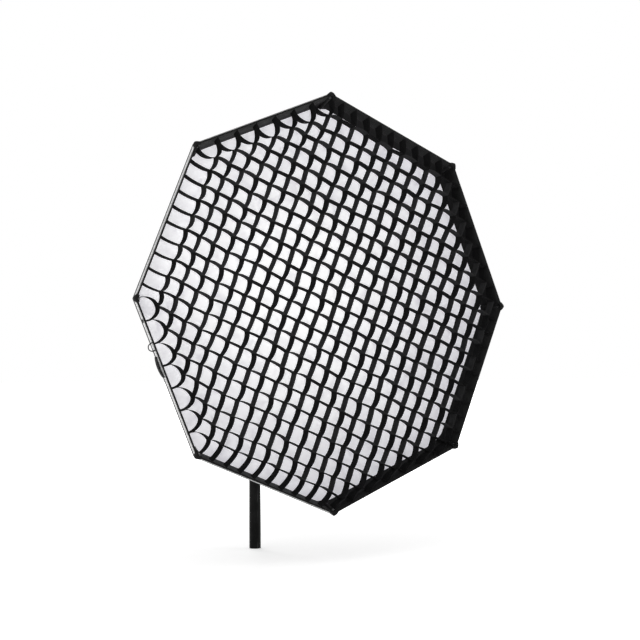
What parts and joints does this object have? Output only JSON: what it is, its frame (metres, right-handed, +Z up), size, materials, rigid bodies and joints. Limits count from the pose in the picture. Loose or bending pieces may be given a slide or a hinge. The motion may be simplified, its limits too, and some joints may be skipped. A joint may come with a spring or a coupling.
{
  "type": "studio softbox",
  "caption": "Octagonal studio softbox with bowed fold-up ribs, black cloth shell, recessed white diffuser, cloth egg-crate grid, and a tilting bracket on a stand tube.",
  "frame": {"origin": "centre of the lower end face of the stand tube", "axes": "+Z up the stand tube; the light leaves towards -Y; +X is to the right of a viewer in front of the light"},
  "size_m": [1.0442, 0.47, 1.1661],
  "materials": {
    "black_coat": "satin",
    "bare_steel": "brushed",
    "black_alloy": "satin",
    "black_plastic": "matte",
    "steel_rod": "satin",
    "black_cloth": "matte",
    "black_webbing": "matte",
    "pale_tape": "matte",
    "white_diffuser": "matte",
    "grid_cloth": "matte"
  },
  "bodies": {
    "stand": {"stand_pole": "black_coat", "stand_spigot": "bare_steel"},
    "bracket": {"bracket_body": "black_alloy", "tilt_bolt": "bare_steel"},
    "socket_knob": {"socket_knob": "black_plastic"},
    "tilt_lever": {"tilt_lever": "black_plastic"},
    "head": {"tilt_head": "black_alloy", "mount_insert": "bare_steel", "retainer_ring": "black_coat"},
    "ring_latch": {"ring_latch": "black_plastic"},
    "box_hub": {"speed_ring": "black_alloy", "rim_band": "pale_tape", "front_diffuser": "white_diffuser", "inner_baffle": "white_diffuser", "grid_border": "black_webbing", "grid_strips_front": "grid_cloth", "grid_strips_back": "grid_cloth"},
    "collar": {"slide_collar": "black_alloy"},
    "rib_1": {"rib_1": "steel_rod", "rib_cap_1": "black_webbing"},
    "link_1": {"link_1": "bare_steel"},
    "rib_2": {"rib_2": "steel_rod", "rib_cap_2": "black_webbing"},
    "link_2": {"link_2": "bare_steel"},
    "rib_3": {"rib_3": "steel_rod", "rib_cap_3": "black_webbing"},
    "link_3": {"link_3": "bare_steel"},
    "rib_4": {"rib_4": "steel_rod", "rib_cap_4": "black_webbing"},
    "link_4": {"link_4": "bare_steel"},
    "rib_5": {"rib_5": "steel_rod", "rib_cap_5": "black_webbing"},
    "link_5": {"link_5": "bare_steel"},
    "rib_6": {"rib_6": "steel_rod", "rib_cap_6": "black_webbing"},
    "link_6": {"link_6": "bare_steel"},
    "rib_7": {"rib_7": "steel_rod", "rib_cap_7": "black_webbing"},
    "link_7": {"link_7": "bare_steel"},
    "rib_8": {"rib_8": "steel_rod", "rib_cap_8": "black_webbing"},
    "link_8": {"link_8": "bare_steel"},
    "panel_1a": {"shell_panel_1a": "black_cloth"},
    "panel_1b": {"shell_panel_1b": "black_cloth"},
    "panel_2a": {"shell_panel_2a": "black_cloth"},
    "panel_2b": {"shell_panel_2b": "black_cloth"},
    "panel_3a": {"shell_panel_3a": "black_cloth"},
    "panel_3b": {"shell_panel_3b": "black_cloth"},
    "panel_4a": {"shell_panel_4a": "black_cloth"},
    "panel_4b": {"shell_panel_4b": "black_cloth"},
    "panel_5a": {"shell_panel_5a": "black_cloth"},
    "panel_5b": {"shell_panel_5b": "black_cloth"},
    "panel_6a": {"shell_panel_6a": "black_cloth"},
    "panel_6b": {"shell_panel_6b": "black_cloth", "side_strap": "black_webbing", "cord_loop": "black_webbing"},
    "panel_7a": {"shell_panel_7a": "black_cloth"},
    "panel_7b": {"shell_panel_7b": "black_cloth"},
    "panel_8a": {"shell_panel_8a": "black_cloth"},
    "panel_8b": {"shell_panel_8b": "black_cloth"}
  },
  "joints": [
    {"name": "stand_swivel", "type": "hinge", "parent": "stand", "child": "bracket", "pos_m": [0, 0, 0.48], "axis": [0, 0, 1], "continuous": true},
    {"name": "socket_knob_turn", "type": "hinge", "parent": "bracket", "child": "socket_knob", "pos_m": [0, 0.03, 0.478], "axis": [0, 1, 0], "continuous": true},
    {"name": "head_tilt", "type": "hinge", "parent": "bracket", "child": "head", "pos_m": [0, 0, 0.529], "axis": [-1, 0, 0], "range_deg": [-20, 75]},
    {"name": "tilt_lever_turn", "type": "hinge", "parent": "bracket", "child": "tilt_lever", "pos_m": [0.025, 0, 0.529], "axis": [1, 0, 0], "range_deg": [-20, 50]},
    {"name": "latch_pull", "type": "slide", "parent": "head", "child": "ring_latch", "axis": [0, 0, 1], "range_m": [0, 0.005]},
    {"name": "box_turn", "type": "hinge", "parent": "head", "child": "box_hub", "pos_m": [0, -0.038, 0.644], "axis": [0, -1, 0], "continuous": true},
    {"name": "fold", "type": "hinge", "parent": "box_hub", "child": "rib_1", "pos_m": [0, -0.044, 0.726], "axis": [1, 0, 0], "range_deg": [0, 48], "deforming": ["rim_band", "front_diffuser", "inner_baffle", "grid_border", "grid_strips_front", "grid_strips_back", "shell_panel_1a", "shell_panel_1b", "shell_panel_2a", "shell_panel_2b", "shell_panel_3a", "shell_panel_3b", "shell_panel_4a", "shell_panel_4b", "shell_panel_5a", "shell_panel_5b", "shell_panel_6a", "shell_panel_6b", "shell_panel_7a", "shell_panel_7b", "shell_panel_8a", "shell_panel_8b", "side_strap", "cord_loop"]},
    {"name": "link_turn_1", "type": "hinge", "parent": "rib_1", "child": "link_1", "pos_m": [0, -0.06877, 0.79146], "axis": [-1, 0, 0], "range_deg": [0, 80.41]},
    {"name": "rib_fold_2", "type": "hinge", "parent": "box_hub", "child": "rib_2", "pos_m": [0.05798, -0.044, 0.70198], "axis": [0.7071, 0, -0.7071], "range_deg": [0, 48]},
    {"name": "link_turn_2", "type": "hinge", "parent": "rib_2", "child": "link_2", "pos_m": [0.10427, -0.06877, 0.74827], "axis": [-0.7071, 0, 0.7071], "range_deg": [0, 80.41]},
    {"name": "rib_fold_3", "type": "hinge", "parent": "box_hub", "child": "rib_3", "pos_m": [0.082, -0.044, 0.644], "axis": [0, 0, -1], "range_deg": [0, 48]},
    {"name": "link_turn_3", "type": "hinge", "parent": "rib_3", "child": "link_3", "pos_m": [0.14746, -0.06877, 0.644], "axis": [0, 0, 1], "range_deg": [0, 80.41]},
    {"name": "rib_fold_4", "type": "hinge", "parent": "box_hub", "child": "rib_4", "pos_m": [0.05798, -0.044, 0.58602], "axis": [-0.7071, 0, -0.7071], "range_deg": [0, 48]},
    {"name": "link_turn_4", "type": "hinge", "parent": "rib_4", "child": "link_4", "pos_m": [0.10427, -0.06877, 0.53973], "axis": [0.7071, 0, 0.7071], "range_deg": [0, 80.41]},
    {"name": "rib_fold_5", "type": "hinge", "parent": "box_hub", "child": "rib_5", "pos_m": [0, -0.044, 0.562], "axis": [-1, 0, 0], "range_deg": [0, 48]},
    {"name": "link_turn_5", "type": "hinge", "parent": "rib_5", "child": "link_5", "pos_m": [0, -0.06877, 0.49654], "axis": [1, 0, 0], "range_deg": [0, 80.41]},
    {"name": "rib_fold_6", "type": "hinge", "parent": "box_hub", "child": "rib_6", "pos_m": [-0.05798, -0.044, 0.58602], "axis": [-0.7071, 0, 0.7071], "range_deg": [0, 48]},
    {"name": "link_turn_6", "type": "hinge", "parent": "rib_6", "child": "link_6", "pos_m": [-0.10427, -0.06877, 0.53973], "axis": [0.7071, 0, -0.7071], "range_deg": [0, 80.41]},
    {"name": "rib_fold_7", "type": "hinge", "parent": "box_hub", "child": "rib_7", "pos_m": [-0.082, -0.044, 0.644], "axis": [0, 0, 1], "range_deg": [0, 48]},
    {"name": "link_turn_7", "type": "hinge", "parent": "rib_7", "child": "link_7", "pos_m": [-0.14746, -0.06877, 0.644], "axis": [0, 0, -1], "range_deg": [0, 80.41]},
    {"name": "rib_fold_8", "type": "hinge", "parent": "box_hub", "child": "rib_8", "pos_m": [-0.05798, -0.044, 0.70198], "axis": [0.7071, 0, 0.7071], "range_deg": [0, 48]},
    {"name": "link_turn_8", "type": "hinge", "parent": "rib_8", "child": "link_8", "pos_m": [-0.10427, -0.06877, 0.74827], "axis": [-0.7071, 0, -0.7071], "range_deg": [0, 80.41]},
    {"name": "collar_slide", "type": "slide", "parent": "box_hub", "child": "collar", "axis": [0, -1, 0], "range_m": [0, 0.08865]},
    {"name": "crease_1a", "type": "hinge", "parent": "rib_1", "child": "panel_1a", "pos_m": [0, -0.044, 0.726], "axis": [-0.3902, -0.3745, -0.8411], "range_deg": [0, 18.12]},
    {"name": "crease_1b", "type": "hinge", "parent": "rib_2", "child": "panel_1b", "pos_m": [0.05798, -0.044, 0.70198], "axis": [0.3189, 0.3745, 0.8707], "range_deg": [0, 18.12]},
    {"name": "crease_2a", "type": "hinge", "parent": "rib_2", "child": "panel_2a", "pos_m": [0.05798, -0.044, 0.70198], "axis": [-0.8707, -0.3745, -0.3189], "range_deg": [0, 18.12]},
    {"name": "crease_2b", "type": "hinge", "parent": "rib_3", "child": "panel_2b", "pos_m": [0.082, -0.044, 0.644], "axis": [0.8411, 0.3745, 0.3902], "range_deg": [0, 18.12]},
    {"name": "crease_3a", "type": "hinge", "parent": "rib_3", "child": "panel_3a", "pos_m": [0.082, -0.044, 0.644], "axis": [-0.8411, -0.3745, 0.3902], "range_deg": [0, 18.12]},
    {"name": "crease_3b", "type": "hinge", "parent": "rib_4", "child": "panel_3b", "pos_m": [0.05798, -0.044, 0.58602], "axis": [0.8707, 0.3745, -0.3189], "range_deg": [0, 18.12]},
    {"name": "crease_4a", "type": "hinge", "parent": "rib_4", "child": "panel_4a", "pos_m": [0.05798, -0.044, 0.58602], "axis": [-0.3189, -0.3745, 0.8707], "range_deg": [0, 18.12]},
    {"name": "crease_4b", "type": "hinge", "parent": "rib_5", "child": "panel_4b", "pos_m": [0, -0.044, 0.562], "axis": [0.3902, 0.3745, -0.8411], "range_deg": [0, 18.12]},
    {"name": "crease_5a", "type": "hinge", "parent": "rib_5", "child": "panel_5a", "pos_m": [0, -0.044, 0.562], "axis": [0.3902, -0.3745, 0.8411], "range_deg": [0, 18.12]},
    {"name": "crease_5b", "type": "hinge", "parent": "rib_6", "child": "panel_5b", "pos_m": [-0.05798, -0.044, 0.58602], "axis": [-0.3189, 0.3745, -0.8707], "range_deg": [0, 18.12]},
    {"name": "crease_6a", "type": "hinge", "parent": "rib_6", "child": "panel_6a", "pos_m": [-0.05798, -0.044, 0.58602], "axis": [0.8707, -0.3745, 0.3189], "range_deg": [0, 18.12]},
    {"name": "crease_6b", "type": "hinge", "parent": "rib_7", "child": "panel_6b", "pos_m": [-0.082, -0.044, 0.644], "axis": [-0.8411, 0.3745, -0.3902], "range_deg": [0, 18.12]},
    {"name": "crease_7a", "type": "hinge", "parent": "rib_7", "child": "panel_7a", "pos_m": [-0.082, -0.044, 0.644], "axis": [0.8411, -0.3745, -0.3902], "range_deg": [0, 18.12]},
    {"name": "crease_7b", "type": "hinge", "parent": "rib_8", "child": "panel_7b", "pos_m": [-0.05798, -0.044, 0.70198], "axis": [-0.8707, 0.3745, 0.3189], "range_deg": [0, 18.12]},
    {"name": "crease_8a", "type": "hinge", "parent": "rib_8", "child": "panel_8a", "pos_m": [-0.05798, -0.044, 0.70198], "axis": [0.3189, -0.3745, -0.8707], "range_deg": [0, 18.12]},
    {"name": "crease_8b", "type": "hinge", "parent": "rib_1", "child": "panel_8b", "pos_m": [0, -0.044, 0.726], "axis": [-0.3902, 0.3745, 0.8411], "range_deg": [0, 18.12]}
  ],
  "couplings": [
    {"joint": "link_turn_1", "follows": "fold", "ratio": 1.6647},
    {"joint": "link_turn_2", "follows": "fold", "ratio": 1.6647},
    {"joint": "rib_fold_2", "follows": "fold", "ratio": 1},
    {"joint": "link_turn_3", "follows": "fold", "ratio": 1.6647},
    {"joint": "rib_fold_3", "follows": "fold", "ratio": 1},
    {"joint": "link_turn_4", "follows": "fold", "ratio": 1.6647},
    {"joint": "rib_fold_4", "follows": "fold", "ratio": 1},
    {"joint": "link_turn_5", "follows": "fold", "ratio": 1.6647},
    {"joint": "rib_fold_5", "follows": "fold", "ratio": 1},
    {"joint": "link_turn_6", "follows": "fold", "ratio": 1.6647},
    {"joint": "rib_fold_6", "follows": "fold", "ratio": 1},
    {"joint": "link_turn_7", "follows": "fold", "ratio": 1.6647},
    {"joint": "rib_fold_7", "follows": "fold", "ratio": 1},
    {"joint": "link_turn_8", "follows": "fold", "ratio": 1.6647},
    {"joint": "rib_fold_8", "follows": "fold", "ratio": 1},
    {"joint": "collar_slide", "follows": "fold", "m_per_rad": 0.10522},
    {"joint": "crease_1a", "follows": "fold", "ratio": 0.37339},
    {"joint": "crease_1b", "follows": "fold", "ratio": 0.37339},
    {"joint": "crease_2a", "follows": "fold", "ratio": 0.37339},
    {"joint": "crease_2b", "follows": "fold", "ratio": 0.37339},
    {"joint": "crease_3a", "follows": "fold", "ratio": 0.37339},
    {"joint": "crease_3b", "follows": "fold", "ratio": 0.37339},
    {"joint": "crease_4a", "follows": "fold", "ratio": 0.37339},
    {"joint": "crease_4b", "follows": "fold", "ratio": 0.37339},
    {"joint": "crease_5a", "follows": "fold", "ratio": 0.37339},
    {"joint": "crease_5b", "follows": "fold", "ratio": 0.37339},
    {"joint": "crease_6a", "follows": "fold", "ratio": 0.37339},
    {"joint": "crease_6b", "follows": "fold", "ratio": 0.37339},
    {"joint": "crease_7a", "follows": "fold", "ratio": 0.37339},
    {"joint": "crease_7b", "follows": "fold", "ratio": 0.37339},
    {"joint": "crease_8a", "follows": "fold", "ratio": 0.37339},
    {"joint": "crease_8b", "follows": "fold", "ratio": 0.37339}
  ]
}
